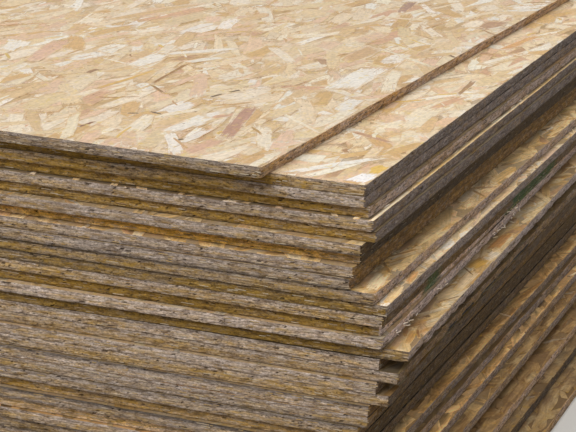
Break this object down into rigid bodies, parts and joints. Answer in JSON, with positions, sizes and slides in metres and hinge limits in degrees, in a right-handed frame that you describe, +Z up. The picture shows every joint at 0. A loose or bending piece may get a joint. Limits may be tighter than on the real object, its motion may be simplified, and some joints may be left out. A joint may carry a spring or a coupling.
{
  "type": "stack of oriented strand board panels",
  "caption": "Loose flat pile of large oriented strand board panels with weathered sawn edges, each lying a little out of line with the next.",
  "frame": {"origin": "on the floor under the middle of the pile's outline", "axes": "+Z up, +Y along the panels' long side, away from the front; -Y is the front with the short edges; +X to the right"},
  "size_m": [1.4618, 2.5396, 0.408],
  "materials": {
    "osb": "pressed wood strands, pale on the broad faces, weathered grey-brown on the sawn edges"
  },
  "bodies": {
    "root": {"panel_01": "osb", "panel_02": "osb", "panel_03": "osb", "panel_04": "osb", "panel_05": "osb", "panel_06": "osb", "panel_07": "osb", "panel_08": "osb", "panel_09": "osb", "panel_10": "osb", "panel_11": "osb", "panel_12": "osb", "panel_13": "osb", "panel_14": "osb", "panel_15": "osb", "panel_16": "osb", "panel_17": "osb", "panel_18": "osb", "panel_19": "osb", "panel_20": "osb", "panel_21": "osb", "panel_22": "osb", "panel_23": "osb", "panel_24": "osb", "panel_25": "osb", "panel_26": "osb", "panel_27": "osb", "panel_28": "osb", "panel_29": "osb", "panel_30": "osb", "panel_31": "osb", "panel_32": "osb", "panel_33": "osb", "panel_34": "osb"}
  },
  "joints": []
}
